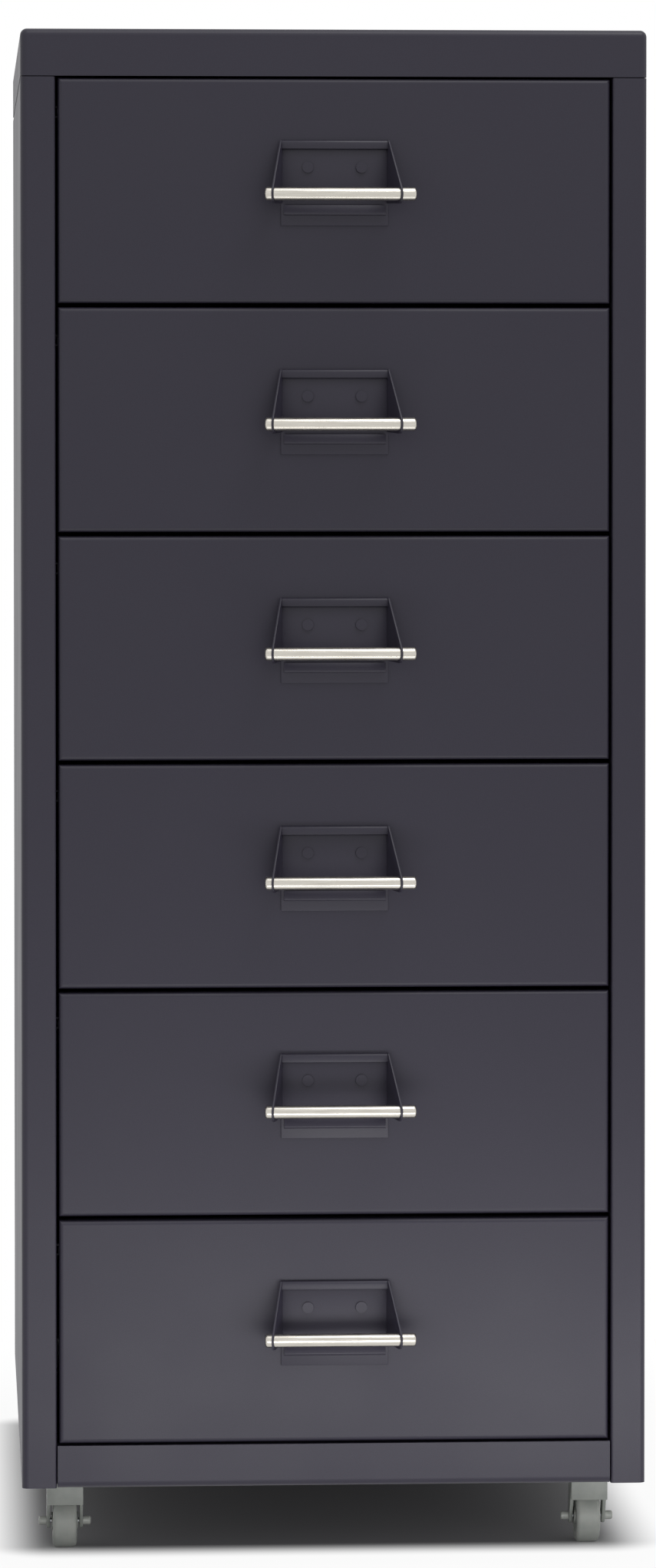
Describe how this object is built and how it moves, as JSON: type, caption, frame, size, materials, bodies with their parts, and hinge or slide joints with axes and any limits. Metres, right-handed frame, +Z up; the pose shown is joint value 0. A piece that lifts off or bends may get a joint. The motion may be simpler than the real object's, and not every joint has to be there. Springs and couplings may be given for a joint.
{
  "type": "drawer cabinet",
  "caption": "Tall narrow steel drawer cabinet on swivel casters, with a column of equal drawers, each with a label holder and a bar handle.",
  "frame": {"origin": "on the floor, under the middle of the bounding box", "axes": "+Z up, the drawers open towards -Y, +X to the right as seen from the front"},
  "size_m": [0.28, 0.4298, 0.69],
  "materials": {
    "carcass_paint": "satin powder coat",
    "drawer_paint": "satin powder coat",
    "holder_paint": "satin powder coat",
    "rivet_paint": "satin powder coat",
    "runner_steel": "satin powder coat",
    "bar_metal": "satin nickel",
    "zinc_steel": "zinc plated",
    "fork_plastic": "moulded",
    "cap_plastic": "moulded",
    "wheel_plastic": "moulded"
  },
  "bodies": {
    "cabinet": {"top_panel": "carcass_paint", "left_side_panel": "carcass_paint", "right_side_panel": "carcass_paint", "back_panel": "carcass_paint", "base_panel": "carcass_paint", "left_drawer_runners": "runner_steel", "right_drawer_runners": "runner_steel", "caster_sockets": "zinc_steel", "caster_stems": "zinc_steel", "cabinet_screws": "zinc_steel"},
    "drawer_1": {"drawer_1_front": "drawer_paint", "drawer_1_tray": "drawer_paint", "drawer_1_label_holder": "holder_paint", "drawer_1_handle_bar": "bar_metal", "drawer_1_rivets": "rivet_paint"},
    "drawer_2": {"drawer_2_front": "drawer_paint", "drawer_2_tray": "drawer_paint", "drawer_2_label_holder": "holder_paint", "drawer_2_handle_bar": "bar_metal", "drawer_2_rivets": "rivet_paint"},
    "drawer_3": {"drawer_3_front": "drawer_paint", "drawer_3_tray": "drawer_paint", "drawer_3_label_holder": "holder_paint", "drawer_3_handle_bar": "bar_metal", "drawer_3_rivets": "rivet_paint"},
    "drawer_4": {"drawer_4_front": "drawer_paint", "drawer_4_tray": "drawer_paint", "drawer_4_label_holder": "holder_paint", "drawer_4_handle_bar": "bar_metal", "drawer_4_rivets": "rivet_paint"},
    "drawer_5": {"drawer_5_front": "drawer_paint", "drawer_5_tray": "drawer_paint", "drawer_5_label_holder": "holder_paint", "drawer_5_handle_bar": "bar_metal", "drawer_5_rivets": "rivet_paint"},
    "drawer_6": {"drawer_6_front": "drawer_paint", "drawer_6_tray": "drawer_paint", "drawer_6_label_holder": "holder_paint", "drawer_6_handle_bar": "bar_metal", "drawer_6_rivets": "rivet_paint"},
    "front_left_caster": {"front_left_caster_fork": "fork_plastic", "front_left_caster_axle": "zinc_steel", "front_left_caster_axle_caps": "cap_plastic"},
    "front_left_wheel": {"front_left_caster_wheel": "wheel_plastic"},
    "front_right_caster": {"front_right_caster_fork": "fork_plastic", "front_right_caster_axle": "zinc_steel", "front_right_caster_axle_caps": "cap_plastic"},
    "front_right_wheel": {"front_right_caster_wheel": "wheel_plastic"},
    "rear_left_caster": {"rear_left_caster_fork": "fork_plastic", "rear_left_caster_axle": "zinc_steel", "rear_left_caster_axle_caps": "cap_plastic"},
    "rear_left_wheel": {"rear_left_caster_wheel": "wheel_plastic"},
    "rear_right_caster": {"rear_right_caster_fork": "fork_plastic", "rear_right_caster_axle": "zinc_steel", "rear_right_caster_axle_caps": "cap_plastic"},
    "rear_right_wheel": {"rear_right_caster_wheel": "wheel_plastic"}
  },
  "joints": [
    {"name": "drawer_1_slide", "type": "slide", "parent": "cabinet", "child": "drawer_1", "axis": [0, -1, 0], "range_m": [0, 0.3]},
    {"name": "drawer_2_slide", "type": "slide", "parent": "cabinet", "child": "drawer_2", "axis": [0, -1, 0], "range_m": [0, 0.3]},
    {"name": "drawer_3_slide", "type": "slide", "parent": "cabinet", "child": "drawer_3", "axis": [0, -1, 0], "range_m": [0, 0.3]},
    {"name": "drawer_4_slide", "type": "slide", "parent": "cabinet", "child": "drawer_4", "axis": [0, -1, 0], "range_m": [0, 0.3]},
    {"name": "drawer_5_slide", "type": "slide", "parent": "cabinet", "child": "drawer_5", "axis": [0, -1, 0], "range_m": [0, 0.3]},
    {"name": "drawer_6_slide", "type": "slide", "parent": "cabinet", "child": "drawer_6", "axis": [0, -1, 0], "range_m": [0, 0.3]},
    {"name": "front_left_swivel", "type": "hinge", "parent": "cabinet", "child": "front_left_caster", "pos_m": [-0.12, -0.1351, 0.0304], "axis": [0, 0, 1], "continuous": true},
    {"name": "front_left_roll", "type": "hinge", "parent": "front_left_caster", "child": "front_left_wheel", "pos_m": [-0.12, -0.1271, 0.012], "axis": [1, 0, 0], "continuous": true},
    {"name": "front_right_swivel", "type": "hinge", "parent": "cabinet", "child": "front_right_caster", "pos_m": [0.12, -0.1351, 0.0304], "axis": [0, 0, 1], "continuous": true},
    {"name": "front_right_roll", "type": "hinge", "parent": "front_right_caster", "child": "front_right_wheel", "pos_m": [0.12, -0.1271, 0.012], "axis": [1, 0, 0], "continuous": true},
    {"name": "rear_left_swivel", "type": "hinge", "parent": "cabinet", "child": "rear_left_caster", "pos_m": [-0.12, 0.1549, 0.0304], "axis": [0, 0, 1], "continuous": true},
    {"name": "rear_left_roll", "type": "hinge", "parent": "rear_left_caster", "child": "rear_left_wheel", "pos_m": [-0.12, 0.1629, 0.012], "axis": [1, 0, 0], "continuous": true},
    {"name": "rear_right_swivel", "type": "hinge", "parent": "cabinet", "child": "rear_right_caster", "pos_m": [0.12, 0.1549, 0.0304], "axis": [0, 0, 1], "continuous": true},
    {"name": "rear_right_roll", "type": "hinge", "parent": "rear_right_caster", "child": "rear_right_wheel", "pos_m": [0.12, 0.1629, 0.012], "axis": [1, 0, 0], "continuous": true}
  ]
}
